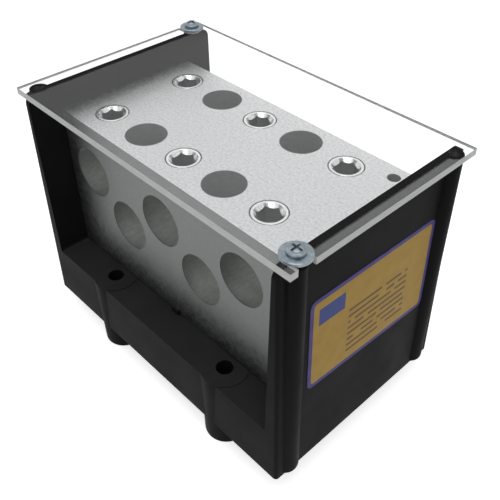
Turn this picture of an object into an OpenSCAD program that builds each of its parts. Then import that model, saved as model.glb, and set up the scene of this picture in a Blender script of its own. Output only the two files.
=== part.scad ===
// Power distribution block: a moulded insulating housing carries a drilled
// connector bar with five wire holes, ten set screws and a clear cover.
// Units are millimetres, +Z is up, the wires run along Y.
// The origin is under the middle of the part, level with the mounting feet.

/* [Housing] */
// Half of the housing's width at its bottom edge
base_half_w = 84.4; // [80:0.1:90]
// Half of the housing's width at the top of the end walls
top_half_w = 80.4; // [78:0.1:86]
// Half of the housing's depth at its bottom edge
base_half_d = 54.5; // [50:0.1:60]
// Half of the housing's depth at the top of the end walls
top_half_d = 53.4; // [50:0.1:58]
// Height of the housing's bottom edge above the mounting surface
base_z = 13.5; // [8:0.1:20]
// Height of the floor that the connector bar rests on
floor_z = 42.4; // [36:0.1:50]
// Height of the end walls
wall_z = 131.1; // [120:0.1:140]
// Thickness of the moulded floor
floor_t = 6.0; // [4:0.1:9]
// Half of the clear width between the end walls at the floor
bay_half_w = 76.7; // [70:0.1:80]
// Draft of each end wall's inner face over its height
bay_draft = 0.5; // [0:0.1:1]
// Radius of the end walls' upper front and rear corners
wall_corner_r = 4.0; // [1:0.1:6]
// Radius along the housing's upright edges
edge_r = 1.8; // [0.5:0.1:3]
// Radius where the floor meets the end walls
floor_fillet = 1.8; // [0.5:0.1:3]

/* [Underside] */
// Number of moulded pockets along X
pocket_cols = 9; // [5:1:11]
// Number of moulded pockets along Y
pocket_rows = 6; // [4:1:8]
// Distance between pocket centres along X
pocket_pitch_x = 17.4; // [14:0.1:20]
// Distance between pocket centres along Y
pocket_pitch_y = 16.2; // [14:0.1:20]
// Thickness of the ribs between pockets
rib_t = 2.6; // [1.5:0.1:4]

/* [Mounting feet] */
// Half of the spacing of the mounting holes along X
foot_x = 41.3; // [35:0.1:50]
// Half of the spacing of the mounting holes along Y
foot_y = 44.25; // [40:0.05:48]
// Radius of the mounting holes
foot_hole_r = 4.0; // [2.5:0.1:5]
// Radius of a foot where it meets the floor
foot_top_r = 11.1; // [9:0.1:13]
// Radius of a foot at the mounting surface
foot_low_r = 10.4; // [8:0.1:12]
// Height by which each foot's flat top stands proud of the floor
seat_h = 0.3; // [0.1:0.1:1]
// Radius of the rounding at the lower edge of a foot
foot_edge_r = 0.7; // [0.3:0.1:2]

/* [Corner posts] */
// Distance of the posts' axes from the middle along X
post_x = 80.2; // [76:0.1:84]
// Distance of the posts' axes from the middle along Y
post_y = 45.2; // [40:0.1:50]
// Radius of a post at the bottom edge
post_low_r = 6.4; // [5:0.1:9]
// Radius of a post at the top
post_top_r = 4.3; // [3.5:0.1:6]
// Radius of the screw hole in a post
post_hole_r = 2.1; // [1.5:0.05:2.5]
// Depth of the screw hole in a post
post_hole_depth = 18; // [10:1:30]

/* [Connector bar] */
// Half of the bar's length along X
bar_half_w = 76.6; // [70:0.1:80]
// Half of the bar's depth along Y
bar_half_d = 37.75; // [30:0.05:45]
// Height of the bar's top face
bar_z = 118.8; // [110:0.1:125]
// Size of the small chamfer along the bar's upper edges
bar_chamfer = 0.5; // [0.2:0.1:1.5]
// Size of the chamfer along the bar's lower edges
bar_low_chamfer = 0.9; // [0.2:0.1:1.5]
// Distance between neighbouring wire holes
wire_pitch = 25.83; // [20:0.01:30]
// Position of the middle wire hole along X
wire_shift = -6.08; // [-10:0.01:10]
// Radius of the wire holes
wire_r = 12.55; // [8:0.05:14]
// Height of the upper row of wire holes
upper_wire_z = 94.5; // [88:0.1:100]
// Height of the lower row of wire holes
lower_wire_z = 77.1; // [70:0.1:85]
// Radius of the small tapped hole in the bar's top
tap_r = 2.9; // [2:0.1:4]
// Depth of the small tapped hole
tap_depth = 19; // [8:1:30]

/* [Set screws] */
// Distance of the set screws from the middle along Y
screw_y = 22.6; // [15:0.1:30]
// Radius of a set screw
screw_r = 7.85; // [5:0.05:9]
// Gap between a set screw and its tapped hole
screw_gap = 0.07; // [0.02:0.01:0.1]
// Length of a set screw
screw_len = 11.9; // [9:0.1:20]
// Radius of the counterbores over the lower set screws
access_r = 9.53; // [8:0.01:11]
// Height of the floor of those counterbores
access_floor_z = 101.4; // [95:0.1:110]
// Width of the hex socket across its flats
hex_flats = 9.53; // [5:0.01:12]
// Depth of the hex socket
hex_depth = 7.6; // [5:0.1:10]
// Turn of the hex sockets about their axes in degrees
hex_turn = 32; // [0:1:60]

/* [Cover] */
// Half of the cover's width
cover_half_w = 85.4; // [80:0.1:90]
// Half of the cover's depth
cover_half_d = 53.2; // [50:0.1:60]
// Thickness of the cover
cover_t = 3.2; // [2:0.1:5]
// Width of the two open slots in the cover
slot_w = 8.6; // [5:0.1:10]

/* [Label] */
// Position of the label's front edge along Y
label_front_y = -37.1; // [-45:0.1:-30]
// Position of the label's rear edge along Y
label_back_y = 40.0; // [30:0.1:42]
// Height of the label's top edge at its middle
label_top_z = 105.6; // [90:0.1:115]
// Height of the label at its middle
label_h = 49.0; // [40:0.1:60]
// Fall of the label's top edge towards the rear
label_top_fall = 2.2; // [0:0.1:5]
// Fall of the label's bottom edge towards the rear
label_low_fall = 4.4; // [0:0.1:8]
// Length taken by the rounding at each corner of the label
label_round = 3.6; // [1:0.1:6]
// Thickness of the side label
label_t = 0.25; // [0.1:0.05:0.6]

/* [Hidden] */
$fn = 64;
eps = 0.02;
wide = 400;
floor_low_z = floor_z - floor_t;
wall_slope = (base_half_w - top_half_w) / (wall_z - base_z);
face_slope = (base_half_d - top_half_d) / (wall_z - base_z);
wall_draft = atan(wall_slope);
face_draft = atan(face_slope);
post_slope = (post_low_r - post_top_r) / (wall_z - base_z);
post_edge_r = 1.5;
thread_r = screw_r + screw_gap;
hex_r = hex_flats / 2 / cos(30);
cone_mouth_r = 6.4;
top_flat_r = 7.3;
cover_low_z = wall_z;
cover_top_z = wall_z + cover_t;
washer_r = 6.0;
washer_hole_r = 2.3;
washer_t = 1.6;
head_r = 3.55;
head_top_r = 2.55;
head_h = 2.2;
shank_r = 2.05;
shank_len = 14;
cross_w = 1.0;
cross_reach = 4.8;
hold_x = 52.2;
hold_pad_r = 9.2;
hold_head_r = 5.6;
hold_head_h = 3.6;
hold_seat_z = 34;
hold_shank_r = 3.1;
hold_shank_top_z = 55.4;
nub_x = 0.1;
nub_w = 4.6;
nub_h = 3.0;
nub_d = 1.3;
moulded = [0.13, 0.13, 0.14];
plated = [0.86, 0.87, 0.88];
zinc = [0.62, 0.68, 0.74];
clear = [0.85, 0.9, 0.92, 0.35];
printed = [0.36, 0.32, 0.46];

function wire_x(i) = wire_shift + (i - 3) * wire_pitch;
function is_lower(i) = i == 2 || i == 4;
function wire_z(i) = is_lower(i) ? lower_wire_z : upper_wire_z;
function screw_top_z(i) = is_lower(i) ? access_floor_z : bar_z;

// Trapezoid in the XZ plane, drawn out along Y
module slab_along_y(low_half, low_z, high_half, high_z, depth) {
    rotate([90, 0, 0])
        linear_extrude(height = depth, center = true)
            polygon([[-low_half, low_z], [low_half, low_z],
                     [high_half, high_z], [-high_half, high_z]]);
}

// Trapezoid in the YZ plane, drawn out along X
module slab_along_x(low_half, low_z, high_half, high_z, width) {
    rotate([90, 0, 90])
        linear_extrude(height = width, center = true)
            polygon([[-low_half, low_z], [low_half, low_z],
                     [high_half, high_z], [-high_half, high_z]]);
}

// What is cut away to round one upright edge of the drafted shell
module upright_edge_cut() {
    translate([base_half_w, base_half_d, base_z])
        rotate([face_draft, -wall_draft, 0])
            translate([-edge_r + eps, -edge_r + eps, -5])
                difference() {
                    cube([edge_r * 3, edge_r * 3, wall_z]);
                    translate([0, 0, -1]) cylinder(r = edge_r, h = wall_z + 2);
                }
}

// What is cut away to round one upper corner of the end walls
module wall_corner_cut() {
    rotate([90, 0, 90])
        translate([top_half_d - wall_corner_r + eps, wall_z - wall_corner_r + eps, -wide / 2])
            difference() {
                cube([wall_corner_r * 2, wall_corner_r * 2, wide]);
                translate([0, 0, -1]) cylinder(r = wall_corner_r, h = wide + 2);
            }
}

// Drafted block that the housing is shaped from
module drafted_shell() {
    difference() {
        intersection() {
            slab_along_y(base_half_w, base_z, top_half_w, wall_z, wide);
            slab_along_x(base_half_d, base_z, top_half_d, wall_z, wide);
        }
        for (mx = [0, 1], my = [0, 1])
            mirror([mx, 0, 0]) mirror([0, my, 0]) upright_edge_cut();
        for (my = [0, 1]) mirror([0, my, 0]) wall_corner_cut();
    }
}

// Tapered post for a cover screw, rounded at its lower edge
module corner_post() {
    rotate_extrude()
        polygon(concat(
            [[0, base_z]],
            [for (a = [0:22.5:90])
                [post_low_r - post_edge_r + post_edge_r * sin(a),
                 base_z + post_edge_r - post_edge_r * cos(a)]],
            [[post_top_r, wall_z], [0, wall_z]]));
}

// Foot with the mounting hole, standing below the housing's bottom edge
module mounting_foot() {
    rotate_extrude()
        polygon(concat(
            [[0, 0]],
            [for (a = [0:30:90])
                [foot_low_r - foot_edge_r + foot_edge_r * sin(a),
                 foot_edge_r - foot_edge_r * cos(a)]],
            [[foot_top_r, floor_z], [0, floor_z]]));
}

// Flat top of a foot, cut short where the connector bar stands
module foot_seat() {
    difference() {
        translate([foot_x, foot_y, floor_z - 1]) cylinder(r = foot_top_r, h = 1 + seat_h);
        translate([0, bar_half_d + 0.1 - wide, 0]) cube(wide);
    }
}

// Pad that takes a screw holding the connector bar down
module hold_pad() {
    translate([0, 0, base_z]) cylinder(r = hold_pad_r, h = floor_low_z + 1 - base_z);
}

// Moulded pockets that core out the underside
module underside_pockets() {
    difference() {
        for (i = [0:pocket_cols - 1], j = [0:pocket_rows - 1])
            translate([(i - (pocket_cols - 1) / 2) * pocket_pitch_x,
                       (j - (pocket_rows - 1) / 2) * pocket_pitch_y, base_z - 1])
                linear_extrude(height = floor_low_z - base_z + 1)
                    square([pocket_pitch_x - rib_t, pocket_pitch_y - rib_t], center = true);
        for (sx = [-1, 1], sy = [-1, 1]) {
            translate([sx * foot_x, sy * foot_y, 0]) mounting_foot();
            translate([sx * post_x, sy * post_y, 0])
                translate([0, 0, base_z - 2]) cylinder(r = post_low_r, h = floor_z);
        }
        for (sx = [-1, 1]) translate([sx * hold_x, 0, -2]) hold_pad();
    }
}

// Concave strip where the floor runs up into an end wall
module floor_strip() {
    translate([bay_half_w, 0, floor_z])
        rotate([90, 0, 0])
            linear_extrude(height = 2 * base_half_d - 3, center = true)
                difference() {
                    translate([-floor_fillet, -1]) square([floor_fillet + 1, floor_fillet + 1]);
                    translate([-floor_fillet, floor_fillet]) circle(r = floor_fillet);
                }
}

// Low stop in front of and behind the connector bar
module bar_stop() {
    translate([nub_x - nub_w / 2, bar_half_d + 0.05, floor_z - 1])
        cube([nub_w, nub_d, nub_h + 1]);
}

module housing() {
    color(moulded)
    difference() {
        union() {
            difference() {
                union() {
                    difference() {
                        drafted_shell();
                        underside_pockets();
                    }
                    for (sx = [-1, 1], sy = [-1, 1]) {
                        translate([sx * foot_x, sy * foot_y, 0]) mounting_foot();
                        translate([sx * post_x, sy * post_y, 0]) corner_post();
                    }
                    for (sx = [-1, 1]) translate([sx * hold_x, 0, 0]) hold_pad();
                }
                slab_along_y(bay_half_w, floor_z, bay_half_w + bay_draft, wall_z + eps, wide);
                translate([-bay_half_w, -wide / 2, wall_z]) cube([2 * bay_half_w, wide, 5]);
            }
            difference() {
                for (mx = [0, 1]) mirror([mx, 0, 0]) floor_strip();
                cube([wide, 2 * bar_half_d + 0.4, wide], center = true);
            }
            for (my = [0, 1]) mirror([0, my, 0]) bar_stop();
            for (mx = [0, 1], my = [0, 1])
                mirror([mx, 0, 0]) mirror([0, my, 0]) foot_seat();
        }
        for (sx = [-1, 1], sy = [-1, 1]) {
            translate([sx * foot_x, sy * foot_y, -1])
                cylinder(r = foot_hole_r, h = floor_z + 3);
            translate([sx * post_x, sy * post_y, wall_z - post_hole_depth])
                cylinder(r = post_hole_r, h = post_hole_depth + 1);
        }
        for (sx = [-1, 1]) translate([sx * hold_x, 0, 0]) {
            translate([0, 0, base_z - 1])
                cylinder(r = hold_head_r + 0.9, h = hold_seat_z - base_z + 1);
            translate([0, 0, base_z]) cylinder(r = hold_shank_r + 0.3, h = floor_z);
        }
    }
}

// Sawn bar with its long edges lightly chamfered
module bar_blank() {
    low = bar_half_d;
    c = bar_chamfer;
    d = bar_low_chamfer;
    rotate([90, 0, 90])
        linear_extrude(height = 2 * bar_half_w, center = true)
            polygon([[-low + d, floor_z], [low - d, floor_z], [low, floor_z + d],
                     [low, bar_z - c], [low - c, bar_z], [-low + c, bar_z],
                     [-low, bar_z - c], [-low, floor_z + d]]);
}

module connector_block() {
    color(plated)
    difference() {
        bar_blank();
        for (i = [1:5]) {
            translate([wire_x(i), 0, wire_z(i)])
                rotate([90, 0, 0]) cylinder(r = wire_r, h = wide, center = true);
            for (sy = [-1, 1]) translate([wire_x(i), sy * screw_y, 0]) {
                translate([0, 0, wire_z(i)]) cylinder(r = thread_r, h = bar_z);
                if (is_lower(i))
                    translate([0, 0, access_floor_z]) cylinder(r = access_r, h = bar_z);
            }
        }
        translate([64.5, 30.1, bar_z - tap_depth]) cylinder(r = tap_r, h = tap_depth + 1);
        for (sx = [-1, 1]) translate([sx * hold_x, 0, floor_z - 1])
            cylinder(r = hold_shank_r + 0.05, h = hold_shank_top_z - floor_z + 3);
    }
}

// One socket set screw with its top face at z = 0
module set_screw() {
    color(plated)
    difference() {
        rotate_extrude()
            polygon([[0, -screw_len], [screw_r - 2.4, -screw_len],
                     [screw_r, -screw_len + 1.6], [screw_r, -0.55],
                     [top_flat_r, 0], [0, 0]]);
        translate([0, 0, -cone_mouth_r])
            cylinder(r1 = 0, r2 = cone_mouth_r + 1, h = cone_mouth_r + 1);
        rotate([0, 0, hex_turn])
            translate([0, 0, -hex_depth]) cylinder(r = hex_r, h = hex_depth + 1, $fn = 6);
    }
}

module set_screw_at(i, sy) {
    translate([wire_x(i), sy * screw_y, screw_top_z(i)]) set_screw();
}

module set_screw_front_1() { set_screw_at(1, -1); }
module set_screw_front_2() { set_screw_at(2, -1); }
module set_screw_front_3() { set_screw_at(3, -1); }
module set_screw_front_4() { set_screw_at(4, -1); }
module set_screw_front_5() { set_screw_at(5, -1); }
module set_screw_back_1() { set_screw_at(1, 1); }
module set_screw_back_2() { set_screw_at(2, 1); }
module set_screw_back_3() { set_screw_at(3, 1); }
module set_screw_back_4() { set_screw_at(4, 1); }
module set_screw_back_5() { set_screw_at(5, 1); }

// What is cut away for the slot at the front right corner
module cover_slot() {
    translate([post_x, -post_y, cover_low_z - 1]) {
        cylinder(r = slot_w / 2, h = cover_t + 2);
        translate([0, -slot_w / 2, 0]) cube([20, slot_w, cover_t + 2]);
    }
}

module clear_cover() {
    color(clear)
    difference() {
        translate([-cover_half_w, -cover_half_d, cover_low_z])
            cube([2 * cover_half_w, 2 * cover_half_d, cover_t]);
        cover_slot();
        rotate([0, 0, 180]) cover_slot();
    }
}

// Flat washer with softened edges, its underside at z = 0
module cover_washer() {
    color(zinc)
    rotate_extrude()
        polygon([[washer_hole_r, 0], [washer_r - 0.2, 0], [washer_r, 0.2],
                 [washer_r, washer_t - 0.25], [washer_r - 0.3, washer_t],
                 [washer_hole_r, washer_t]]);
}

// Pan head screw with a cross recess, the underside of its head at z = 0
module cover_screw() {
    color(zinc)
    difference() {
        union() {
            rotate_extrude()
                polygon([[0, 0], [head_r - 0.15, 0], [head_r, 0.2], [head_r, 0.95],
                         [head_r - 0.2, 1.25], [head_top_r + 0.3, 1.4], [head_top_r, 1.5],
                         [head_top_r - 0.05, 1.8], [head_top_r - 0.25, 2.05],
                         [head_top_r - 0.6, head_h], [0, head_h]]);
            translate([0, 0, -shank_len]) cylinder(r = shank_r, h = shank_len + 0.5);
        }
        for (a = [0, 90]) rotate([90, 0, a])
            linear_extrude(height = cross_w, center = true)
                polygon([[-cross_reach / 2, head_h + 1], [cross_reach / 2, head_h + 1],
                         [cross_reach / 2, head_h - 0.3], [0.8, 0.5],
                         [-0.8, 0.5], [-cross_reach / 2, head_h - 0.3]]);
    }
}

module cover_washer_front() { translate([post_x, -post_y, cover_top_z]) cover_washer(); }
module cover_washer_back() { translate([-post_x, post_y, cover_top_z]) cover_washer(); }
module cover_screw_front() {
    translate([post_x, -post_y, cover_top_z + washer_t]) cover_screw();
}
module cover_screw_back() {
    translate([-post_x, post_y, cover_top_z + washer_t]) cover_screw();
}

function toward(p, q) = (q - p) / norm(q - p);

// Outline with every corner drawn as a curve that starts and ends c away from it
function eased(pts, c) = [
    for (i = [0:len(pts) - 1])
        let (p = pts[i], n = len(pts),
             a = p + c * toward(p, pts[(i + n - 1) % n]),
             b = p + c * toward(p, pts[(i + 1) % n]))
            for (t = [0:0.2:1]) a * (1 - t) * (1 - t) + p * 2 * t * (1 - t) + b * t * t
];

// Thin label on the drafted face of the right end wall
module side_label() {
    off = base_half_w + wall_slope * base_z;
    low_z = label_top_z - label_h;
    color(printed)
    intersection() {
        rotate([90, 0, 0])
            linear_extrude(height = wide, center = true)
                polygon([[off, 0], [off + label_t, 0],
                         [off + label_t - wall_slope * wide, wide],
                         [off - wall_slope * wide, wide]]);
        rotate([90, 0, 90])
            linear_extrude(height = wide / 2)
                polygon(eased([[label_front_y, low_z + label_low_fall / 2],
                               [label_back_y, low_z - label_low_fall / 2],
                               [label_back_y, label_top_z - label_top_fall / 2],
                               [label_front_y, label_top_z + label_top_fall / 2]],
                              label_round));
    }
}

// Screw that holds the connector bar down, driven from below
module block_screw() {
    color(zinc)
    difference() {
        union() {
            translate([0, 0, hold_seat_z - hold_head_h])
                cylinder(r = hold_head_r, h = hold_head_h);
            translate([0, 0, hold_seat_z - 1])
                cylinder(r = hold_shank_r, h = hold_shank_top_z - hold_seat_z + 1);
        }
        translate([-hold_head_r - 1, -0.8, hold_seat_z - hold_head_h - 1])
            cube([2 * hold_head_r + 2, 1.6, 2.4]);
    }
}

module block_screw_left() { translate([-hold_x, 0, 0]) block_screw(); }
module block_screw_right() { translate([hold_x, 0, 0]) block_screw(); }

housing();
connector_block();
set_screw_front_1();
set_screw_front_2();
set_screw_front_3();
set_screw_front_4();
set_screw_front_5();
set_screw_back_1();
set_screw_back_2();
set_screw_back_3();
set_screw_back_4();
set_screw_back_5();
clear_cover();
cover_washer_front();
cover_washer_back();
cover_screw_front();
cover_screw_back();
side_label();
block_screw_left();
block_screw_right();
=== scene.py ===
"""A power distribution block: a black moulded housing carries a drilled, plated connector bar
with ten socket set screws, under a clear cover held by two screws.  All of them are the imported
solids.  This file gives them their finishes, the label its print and the block its studio."""
import functools
import math

import bpy
import numpy as np
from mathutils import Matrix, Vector

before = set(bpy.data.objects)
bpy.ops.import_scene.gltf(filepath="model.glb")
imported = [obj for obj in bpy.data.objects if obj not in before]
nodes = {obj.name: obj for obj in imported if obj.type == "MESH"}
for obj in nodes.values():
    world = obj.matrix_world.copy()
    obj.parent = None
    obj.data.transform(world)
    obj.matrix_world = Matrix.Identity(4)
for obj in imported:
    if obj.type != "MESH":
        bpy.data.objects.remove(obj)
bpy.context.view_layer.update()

MM = 0.001


def corners(name):
    """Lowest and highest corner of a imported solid, in metres."""
    vertices = nodes[name].data.vertices
    points = np.empty(3 * len(vertices), dtype=np.float32)
    vertices.foreach_get("co", points)
    points = points.reshape(-1, 3).astype(float)
    return points.min(axis=0).tolist(), points.max(axis=0).tolist()


def middle(name):
    """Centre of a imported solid's box, in metres."""
    return np.mean(corners(name), axis=0).tolist()


# Places that the finishes go by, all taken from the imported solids
(BAR_LEFT, _, BAR_FOOT), (_, BAR_HALF_D, BAR_TOP) = corners("connector_block")
SEAT_TOP = corners("set_screw_front_2")[1][2]
SCREW_X, SCREW_Y, _ = middle("set_screw_back_3")
SCREW_PITCH = middle("set_screw_back_4")[0] - SCREW_X
POST_X, POST_Y = (abs(place) for place in middle("cover_screw_front")[:2])
COVER_FOOT = corners("clear_cover")[0][2]


# Colours and material nodes

def paint(code):
    """Linear red, green, blue and alpha of a display colour written as six hex digits."""
    parts = np.array([int(code[i:i + 2], 16) / 255 for i in (0, 2, 4)])
    line = np.where(parts <= 0.04045, parts / 12.92, ((parts + 0.055) / 1.055) ** 2.4)
    return (*line.tolist(), 1.0)


def cells(size_mm):
    """Scale that gives a noise cells of that many millimetres."""
    return 1 / (size_mm * MM)


def fill(node, *sockets, **settings):
    """Fills a node's sockets in order, and those that settings name, with values or with links
    from other outputs.  Other settings are the node's own fields, or the stops of its ramp."""
    pairs = list(zip(node.inputs, sockets))
    for key, value in settings.items():
        named = [s for s in node.inputs if key in (s.identifier, s.name.replace(" ", "_"))]
        if named:
            pairs.append((named[0], value))
        elif key == "stops":
            while len(node.color_ramp.elements) < len(value):
                node.color_ramp.elements.new(0.5)
            for element, (spot, code) in zip(node.color_ramp.elements, value):
                element.position, element.color = spot, paint(code)
        else:
            setattr(node, key, value)
    for socket, value in pairs:
        if isinstance(value, bpy.types.NodeSocket):
            node.id_data.links.new(value, socket)
        else:
            socket.default_value = value


def add(tree, kind, *sockets, out=0, **settings):
    """Adds a filled node to a tree and gives back the output that out names.  The kind of a
    maths node has its operation after a space."""
    kind, _, operation = kind.partition(" ")
    node = tree.nodes.new("ShaderNode" + kind)
    if operation:
        node.operation = operation
    fill(node, *sockets, **settings)
    return node.outputs[out]


class Finish:
    """A material under way: its nodes, the place of the shaded point and how it leans."""

    def __init__(self, name):
        self.material = bpy.data.materials.new(name)
        self.material.use_nodes = True
        self.tree = self.material.node_tree
        self.shader = self.tree.nodes["Principled BSDF"]
        self.add = functools.partial(add, self.tree)
        self.place = self.add("TexCoord", out="Object")
        self.x, self.y, self.z = self.add("SeparateXYZ", self.place, out=slice(3))
        # 1 on flat tops, 0 on walls and -1 on undersides, then the same without its sign
        self.up = self.add("SeparateXYZ", self.add("NewGeometry", out="Normal"), out=2)
        self.level = self.add("Math ABSOLUTE", self.up)

    def done(self, **sockets):
        """Fills the shader's sockets and gives back the material."""
        fill(self.shader, **sockets)
        return self.material


# Finishes of the pieces

def moulded_black():
    """Black thermoplastic from a mould: a satin grain and faint flow clouds, and a lighter grey
    that is painted light where a face lies flat, looking up or down."""
    f = Finish("moulded black thermoplastic")
    clouds = f.add("TexNoise", f.place, Scale=cells(18), Detail=4, Roughness=0.6)
    # Moulded grain is assumed at 0.1 mm, too fine to show, so it is drawn four times as coarse
    grain = f.add("TexNoise", f.place, Scale=cells(0.4), Detail=2, Roughness=0.5)
    walls = f.add("ValToRGB", clouds, stops=[(0.25, "161617"), (0.75, "1b1b1c")])
    # Painted light: faces that lie flat get a lighter copy of the black
    lit_tops = f.add("ValToRGB", clouds, stops=[(0.25, "29292a"), (0.75, "303031")])
    painted_top_light = f.add("MapRange", f.level, 0.6, 0.9, 0.0, 1.0)
    colour = f.add("Mix", painted_top_light, data_type="RGBA", A_Color=walls, B_Color=lit_tops, out=2)
    rough = f.add("MapRange", clouds, 0.3, 0.7, 0.42, 0.56)
    relief = f.add("Bump", Height=grain, Distance=0.03 * MM, Strength=0.5)
    return f.done(Base_Color=colour, Roughness=rough, Normal=relief, Specular_IOR_Level=0.025)


def sawn_face(f, blotch):
    """Grey of the bar's sawn front and back.  Painted shade darkens its grain towards the lower
    edge and the left end, as one minus the product of how far a point is from both."""
    # Saw marks are assumed at 0.2 mm, too fine to show, so their grit is drawn at 0.7 mm
    grit = f.add("TexNoise", f.place, Scale=cells(0.7), Detail=2, Roughness=0.6)
    # Painted shade: the grey darkens towards the foot and the left end, by the ledge and the wall
    shade_height = BAR_FOOT - 0.4 * MM, BAR_FOOT + 41.6 * MM
    shade_length = BAR_LEFT - 0.4 * MM, BAR_LEFT + 26.6 * MM
    high = f.add("MapRange", f.z, *shade_height, 0.0, 1.0)
    right = f.add("MapRange", f.x, *shade_length, 0.0, 1.0)
    edge = f.add("Math SUBTRACT", 1.0, f.add("Math MULTIPLY", high, right))
    even = f.add("Math MULTIPLY", f.add("Math ADD", edge, grit), 0.45)
    smudged = f.add("MapRange", edge, 0.2, 0.8, 0.3, 1.2)
    shade_and_smudge = f.add("Math MULTIPLY_ADD", blotch, smudged, even)
    return f.add("ValToRGB", shade_and_smudge, stops=[(0.34, "757776"), (0.50, "6f7170"),
                                          (0.64, "5f6060"), (0.80, "434444")])


def drilled_hole(f):
    """Grey of the drilled holes: painted shade makes them darker at their mouths than further in,
    and painted light makes them lighter along the bottom, where faces look up.  The recesses
    over the lower screws are one plain grey."""
    # Lengthwise streaks are assumed at 0.3 mm, too fine to show, so they are drawn 1.1 mm wide
    along = f.add("Mapping", f.place, Scale=(1, 0.25, 1))
    streak = f.add("TexNoise", along, Scale=cells(1.1), Detail=3, Roughness=0.6)
    # Painted shade: the mouths get a darker grey than further in
    mouth = f.add("ValToRGB", streak, stops=[(0.30, "8a8d8b"), (0.70, "989b99")])
    depth = f.add("ValToRGB", streak, stops=[(0.30, "b1b4b1"), (0.70, "bfc2bf")])
    # Painted light: a lighter grey along the bottom, where faces look up
    lit_bottom = f.add("ValToRGB", streak, stops=[(0.30, "d7d9d5"), (0.70, "f0f2ee")])
    recess = f.add("ValToRGB", streak, stops=[(0.30, "b6b7b7"), (0.70, "c4c5c5")])
    lit_lower_half = f.add("MapRange", f.up, 0.0, 0.8, 0.0, 1.0)
    depth = f.add("Mix", lit_lower_half, data_type="RGBA", A_Color=depth, B_Color=lit_bottom, out=2)
    mouth_start = 24 * MM
    inside = f.add("MapRange", f.add("Math ABSOLUTE", f.y), mouth_start, BAR_HALF_D, 1.0, 0.0)
    bored = f.add("Mix", inside, data_type="RGBA", A_Color=mouth, B_Color=depth, out=2)
    recess_low, recess_high = SEAT_TOP - 1.4 * MM, SEAT_TOP + 6.6 * MM
    recessed = f.add("MapRange", f.z, recess_low, recess_high, 0.0, 1.0)
    return f.add("Mix", recessed, data_type="RGBA", A_Color=bored, B_Color=recess, out=2)


def plated_bar():
    """Tin plated aluminium.  The milled top is bright with fine speckle, and painted shade darkens
    it towards its left end, by the wall.  The sawn front and back are greyer and smudged, the
    drilled holes rough, and a line of painted shade runs along the foot."""
    f = Finish("tin plated aluminium bar")
    # Flecks of 1.25 mm in the tin and smudges of 2.6 mm
    fleck = f.add("TexNoise", f.place, Scale=cells(1.25), Detail=3, Roughness=0.7)
    blotch = f.add("TexNoise", f.place, Scale=cells(2.6), Detail=6, Roughness=0.75)
    blotch = f.add("Math SUBTRACT", blotch, 0.5)
    top_skin, side_skin = 0.2 * MM, 0.3 * MM
    on_top = f.add("Math GREATER_THAN", f.z, BAR_TOP - top_skin)
    on_side = f.add("Math GREATER_THAN", f.add("Math ABSOLUTE", f.y), BAR_HALF_D - side_skin)

    milled = f.add("ValToRGB", fleck, stops=[(0.34, "d6d6d7"), (0.50, "ececed"),
                                             (0.66, "fafafa")])
    # Painted shade: the top darkens towards its left end, by the wall
    top_shade_length = BAR_LEFT - 0.4 * MM, BAR_LEFT + 10.6 * MM
    wall_shade = f.add("MapRange", f.x, *top_shade_length, 1.0, 0.0)
    wall_shade = f.add("MapRange", f.add("Math ADD", wall_shade, blotch), 0.1, 1.0, 0.0, 1.0)
    milled = f.add("Mix", wall_shade, data_type="RGBA", A_Color=milled, B_Color=paint("5e6060"), out=2)
    colour = f.add("Mix", on_side, data_type="RGBA", A_Color=drilled_hole(f),
                   B_Color=sawn_face(f, blotch), out=2)
    # Painted shade: a near black line along the foot, where the bar meets the ledge
    foot_shade_low, foot_shade_high = BAR_FOOT + 0.6 * MM, BAR_FOOT + 1.1 * MM
    foot_shade = f.add("MapRange", f.z, foot_shade_low, foot_shade_high, 1.0, 0.0)
    colour = f.add("Mix", foot_shade, data_type="RGBA", A_Color=colour, B_Color=paint("1c1c1c"), out=2)
    colour = f.add("Mix", on_top, data_type="RGBA", A_Color=colour, B_Color=milled, out=2)

    elsewhere = f.add("Math SUBTRACT", 1.0, f.add("Math MAXIMUM", on_top, on_side))
    rough = f.add("MapRange", fleck, 0.3, 0.7, 0.40, 0.55)
    rough = f.add("Math MULTIPLY_ADD", elsewhere, 0.18, rough)
    relief = f.add("Bump", Height=fleck, Distance=0.06 * MM, Strength=0.7)
    return f.done(Base_Color=colour, Roughness=rough, Normal=relief, Metallic=1.0)


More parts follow.
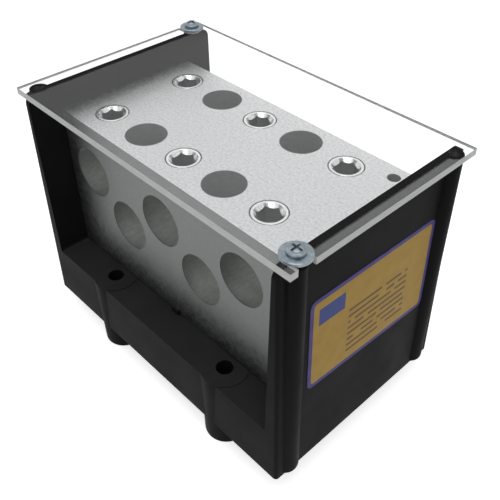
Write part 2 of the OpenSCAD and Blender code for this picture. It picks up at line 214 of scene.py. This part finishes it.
def turned_screw(name, top):
    """Plated set screw, turned: a bright ring and cone, the cone dulled where the broach's six
    corners cut it, a rougher hex socket painted a darker grey as painted shade, and a dull thread
    round the outside."""
    socket_r, cone_r, ring_r = 5.8 * MM, 6.3 * MM, 6.35 * MM
    chamfer_r, thread_r, thread_pitch = 7.35 * MM, 7.5 * MM, 1.4 * MM
    socket_depth, broach_turn = 6 * MM, math.radians(32)
    f = Finish(name)
    # How many pitches a point is from the middle screw, and from that its place from the axis of
    # its own screw.  Adding 20.5 keeps the count positive and puts each axis at one half.
    turns = f.add("Math DIVIDE", f.add("Math SUBTRACT", f.x, SCREW_X), SCREW_PITCH)
    turns = f.add("Math FRACT", f.add("Math ADD", turns, 20.5))
    across = f.add("Math MULTIPLY", f.add("Math SUBTRACT", turns, 0.5), SCREW_PITCH)
    along = f.add("Math SUBTRACT", f.add("Math ABSOLUTE", f.y), SCREW_Y)
    radius = f.add("VectorMath LENGTH", f.add("CombineXYZ", across, along), out="Value")

    upright = f.add("Math LESS_THAN", f.level, 0.3)
    deep = f.add("Math LESS_THAN", f.z, top - socket_depth)
    socket = f.add("Math MULTIPLY", f.add("Math LESS_THAN", radius, socket_r),
                   f.add("Math MAXIMUM", upright, deep))
    thread = f.add("Math MULTIPLY", upright, f.add("Math GREATER_THAN", radius, thread_r))

    # Turning marks are assumed at 0.1 mm, too fine to show, so the fleck is drawn at 0.7 mm
    fleck = f.add("TexNoise", f.place, Scale=cells(0.7), Detail=3, Roughness=0.6)
    colour = f.add("ValToRGB", fleck, stops=[(0.3, "d2d4d4"), (0.7, "f2f2f1")])
    angle = f.add("Math SUBTRACT", f.add("Math ARCTAN2", along, across), broach_turn)
    lobes = f.add("Math COSINE", f.add("Math MULTIPLY", angle, 6))
    cut = f.add("Math MULTIPLY", f.add("Math LESS_THAN", radius, cone_r),
                f.add("MapRange", lobes, 0.2, 1.0, 0.0, 1.0))
    # Painted shade: the socket's walls and floor get a darker grey
    layers = [(cut, "8c8e8d"), (f.add("Math GREATER_THAN", radius, ring_r), "fafafa"),
              (f.add("Math GREATER_THAN", radius, chamfer_r), "747675"), (socket, "868888")]
    for where, code in layers:
        colour = f.add("Mix", where, data_type="RGBA", A_Color=colour, B_Color=paint(code), out=2)

    rough = f.add("MapRange", fleck, 0.3, 0.7, 0.20, 0.32)
    rough = f.add("Math MULTIPLY_ADD", socket, 0.25, rough)
    wave = f.add("Math PINGPONG", f.z, thread_pitch / 2)
    wave = f.add("Math MULTIPLY", f.add("Math DIVIDE", wave, thread_pitch / 2), thread)
    relief = f.add("Bump", Height=wave, Distance=0.4 * MM)
    relief = f.add("Bump", Height=fleck, Distance=0.02 * MM, Strength=0.5, Normal=relief)
    return f.done(Base_Color=colour, Roughness=rough, Normal=relief, Metallic=1.0)


def clear_sheet():
    """Clear polycarbonate sheet with an anti-glare film, so it hardly reflects.  Its index is the
    1.49 that the camera fit used.  That fit can't tell it from polycarbonate's usual 1.58.  Its
    underside is faintly hazy, most of all past the end walls, but not where it lies on the walls
    and posts.  Its sawn edges are frosted.  The film and the haze are guesses."""
    film_nm, film_index = 150.0, 1.22
    wall_inner, wall_outer = (76.6 * MM, 77.0 * MM), (80.8 * MM, 81.4 * MM)
    post_r, underside = 4.4 * MM, COVER_FOOT + 0.9 * MM
    haze_inside, haze_outside, haze_everywhere = 0.085, 0.19, 0.02
    f = Finish("clear polycarbonate sheet")
    edge = f.add("Math LESS_THAN", f.level, 0.5)
    # Saw marks along the edges are assumed at 0.1 mm, too fine to show, and drawn 0.4 mm high
    lengthwise = f.add("Mapping", f.place, Scale=(0.3, 0.3, 3))
    saw = f.add("TexNoise", lengthwise, Scale=cells(1.1), Detail=3, Roughness=0.6)
    frost = f.add("ValToRGB", saw, stops=[(0.3, "d2d4d3"), (0.7, "e8e9e9")])
    colour = f.add("Mix", edge, data_type="RGBA", A_Color=paint("fcfdfd"), B_Color=frost, out=2)

    across, along = f.add("Math ABSOLUTE", f.x), f.add("Math ABSOLUTE", f.y)
    inside = f.add("MapRange", across, *wall_inner, haze_inside, 0.0)
    outside = f.add("MapRange", across, *wall_outer, 0.0, haze_outside)
    from_post = f.add("CombineXYZ", f.add("Math SUBTRACT", across, POST_X),
                      f.add("Math SUBTRACT", along, POST_Y))
    from_post = f.add("VectorMath LENGTH", from_post, out="Value")
    haze = f.add("Math MULTIPLY", f.add("Math ADD", inside, outside),
                 f.add("Math GREATER_THAN", from_post, post_r))
    below = f.add("Math LESS_THAN", f.z, underside)
    haze = f.add("Math MULTIPLY_ADD", haze, below, haze_everywhere)
    clear = f.add("MapRange", edge, 0.0, 1.0, f.add("Math SUBTRACT", 1.0, haze), 0.2)
    rough = f.add("MapRange", edge, 0.0, 1.0, 0.0, 0.6)
    return f.done(Base_Color=colour, Transmission_Weight=clear, Roughness=rough, IOR=1.49,
                  Specular_Tint=paint("000000"), Thin_Film_Thickness=film_nm,
                  Thin_Film_IOR=film_index)


def zinc_plate():
    """Steel with bright zinc plating of a blue tint, slightly blotched in clouds of 2 mm."""
    f = Finish("blue zinc plated steel")
    clouds = f.add("TexNoise", f.place, Scale=cells(2), Detail=4, Roughness=0.65)
    colour = f.add("ValToRGB", clouds, stops=[(0.3, "747f86"), (0.7, "a0abb1")])
    rough = f.add("MapRange", clouds, 0.3, 0.7, 0.34, 0.50)
    relief = f.add("Bump", Height=clouds, Distance=0.03 * MM, Strength=0.4)
    return f.done(Base_Color=colour, Roughness=rough, Normal=relief, Metallic=1.0)


def within(f, value, low, high):
    """One where a value lies between two numbers, nought elsewhere."""
    off = f.add("Math ABSOLUTE", f.add("Math SUBTRACT", value, (low + high) / 2))
    return f.add("Math LESS_THAN", off, (high - low) / 2)


def label_field(f, along, width):
    """One inside the label's border.  The field's corners are round: a point is inside where its
    distance from the corner of a smaller box is less than the corner's radius."""
    top, low, top_fall, low_fall = 105.6 * MM, 56.6 * MM, 2.2 * MM, 4.4 * MM
    border, corner_r = 2.0 * MM, 1.8 * MM
    top_edge = f.add("Math SUBTRACT", top, f.add("Math MULTIPLY", along, top_fall / width))
    low_edge = f.add("Math SUBTRACT", low, f.add("Math MULTIPLY", along, low_fall / width))
    margin = f.add("Math MINIMUM", f.add("Math SUBTRACT", top_edge, f.z),
                   f.add("Math SUBTRACT", f.z, low_edge))
    side = f.add("Math SUBTRACT", width / 2, f.add("Math ABSOLUTE", along))
    past = [f.add("Math MAXIMUM", f.add("Math SUBTRACT", border + corner_r, gap), 0.0)
            for gap in (side, margin)]
    reach = f.add("VectorMath LENGTH", f.add("CombineXYZ", *past), out="Value")
    return f.add("Math LESS_THAN", reach, corner_r)


def printed_label():
    """Printed polyester film: an ochre field in a blue-violet border, with one plain blue field
    and rows of plain dark dashes, which fall a little towards the rear with the label's edges."""
    dash, row_height, row_fall, first_row = 2.6 * MM, 3.3 * MM, 0.045, 60 * MM
    inked_share, gap_share, row_shift = 0.36, 0.16, 7.3
    dash_length, dash_height = (-14 * MM, 24 * MM), (63.2 * MM, 89.6 * MM)
    blue_length, blue_height = (-32 * MM, -17 * MM), (90.5 * MM, 99 * MM)
    f = Finish("printed polyester film")
    (_, front, _), (_, rear, _) = corners("side_label")
    along = f.add("Math SUBTRACT", f.y, (front + rear) / 2)
    level = f.add("Math MULTIPLY_ADD", along, row_fall, f.z)

    # Each dash cell draws a random number, and the few low ones stay bare
    rows = f.add("Math DIVIDE", f.add("Math SUBTRACT", level, first_row), row_height)
    row = f.add("Math FLOOR", rows)
    inked = f.add("Math LESS_THAN", f.add("Math FRACT", rows), inked_share)
    dashes = f.add("Math MULTIPLY_ADD", row, row_shift, f.add("Math DIVIDE", f.y, dash))
    spot = f.add("CombineXYZ", f.add("Math FLOOR", dashes), row)
    drawn = f.add("TexWhiteNoise", spot, out="Value")
    inked = f.add("Math MULTIPLY", inked, f.add("Math GREATER_THAN", drawn, gap_share))
    dash_field = f.add("Math MULTIPLY", within(f, f.y, *dash_length),
                       within(f, level, *dash_height))
    blue_field = f.add("Math MULTIPLY", within(f, f.y, *blue_length),
                       within(f, level, *blue_height))

    clouds = f.add("TexNoise", f.place, Scale=cells(6), Detail=3, Roughness=0.5)
    ochre = f.add("ValToRGB", clouds, stops=[(0.3, "a4833a"), (0.7, "ad8c40")])
    colour = f.add("ValToRGB", clouds, stops=[(0.3, "443c74"), (0.7, "504882")])
    layers = [(label_field(f, along, rear - front), ochre),
              (f.add("Math MULTIPLY", inked, dash_field), paint("5f4a2c")),
              (blue_field, paint("3e4a86"))]
    for where, ink in layers:
        colour = f.add("Mix", where, data_type="RGBA", A_Color=colour, B_Color=ink, out=2)
    return f.done(Base_Color=colour, Roughness=0.42, Specular_IOR_Level=0.08)


zinc = zinc_plate()
upper_screw = turned_screw("tin plated upper screw", BAR_TOP)
lower_screw = turned_screw("tin plated lower screw", SEAT_TOP)
look_of = {"housing": moulded_black(), "connector_block": plated_bar(),
           "clear_cover": clear_sheet(), "side_label": printed_label()}
for name, piece in nodes.items():
    if name.startswith("set_screw"):
        look = lower_screw if name.endswith(("2", "4")) else upper_screw
    else:
        look = look_of.get(name, zinc)
    piece.data.materials.clear()
    piece.data.materials.append(look)


# Studio

def seen_white(tree):
    """One for camera, transmission and glossy rays, nought for all others."""
    camera_ray, glass_ray, gloss_ray = (add(tree, "LightPath", out=f"Is {kind} Ray")
                                        for kind in ("Camera", "Transmission", "Glossy"))
    return add(tree, "Math MAXIMUM", add(tree, "Math MAXIMUM", camera_ray, glass_ray), gloss_ray)


def studio_floor(glow, reach=4):
    """Plain pale floor under the feet, which glows for whatever looks at it and keeps the block's
    shadow."""
    sheet = bpy.data.meshes.new("studio_floor")
    sheet.from_pydata([(-reach, -reach, 0), (reach, -reach, 0), (reach, reach, 0),
                       (-reach, reach, 0)], [], [(0, 1, 2, 3)])
    ground = bpy.data.objects.new("studio_floor", sheet)
    bpy.context.collection.objects.link(ground)
    f = Finish("studio floor")
    white = f.add("Emission", paint("ffffff"), f.add("Math MULTIPLY", seen_white(f.tree), glow))
    both = f.add("AddShader", f.shader.outputs[0], white)
    fill(f.tree.nodes["Material Output"], both)
    sheet.materials.append(f.done(Base_Color=paint("e4e4e4"), Roughness=0.9))


def studio_sky(strength):
    """Even white surround of that strength, at strength 1 for whatever looks at it."""
    world = bpy.data.worlds.new("studio")
    bpy.context.scene.world = world
    world.use_nodes = True
    tree = world.node_tree
    level = add(tree, "MapRange", seen_white(tree), 0.0, 1.0, strength, 1.0)
    fill(tree.nodes["Background"], paint("ffffff"), level)


def lamp(name, at, aim, power, size):
    """Square soft lamp at a place in metres, turned towards another."""
    light = bpy.data.lights.new(name, "AREA")
    light.energy, light.size = power, size
    holder = bpy.data.objects.new(name, light)
    holder.location = at
    holder.rotation_euler = (Vector(aim) - Vector(at)).to_track_quat("-Z", "Y").to_euler()
    bpy.context.collection.objects.link(holder)


def camera():
    """Camera at the photograph's angle: 46.4 degrees round from the front, 41 degrees up."""
    around, up = math.radians(46.372), math.radians(41.015)
    aim, distance = Vector((0.0, 10.62 * MM, 52.73 * MM)), 348.03 * MM
    focal_px, image_px, sensor_mm = 683.865, 500, 36.0
    away = Vector((math.sin(around) * math.cos(up), -math.cos(around) * math.cos(up),
                   math.sin(up)))
    lens = bpy.data.cameras.new("camera")
    lens.sensor_width, lens.lens = sensor_mm, sensor_mm * focal_px / image_px
    lens.clip_start = 0.01
    eye = bpy.data.objects.new("camera", lens)
    eye.location = aim + away * distance
    eye.rotation_euler = (-away).to_track_quat("-Z", "Y").to_euler()
    bpy.context.collection.objects.link(eye)
    bpy.context.scene.camera = eye


studio_floor(glow=0.65)
studio_sky(strength=0.5)
lamp("soft_top_lamp", at=(0.3, -0.4, 1.6), aim=(0, 0, 0.06), power=8.5, size=1.2)
camera()
bpy.context.scene.view_settings.view_transform = "Standard"
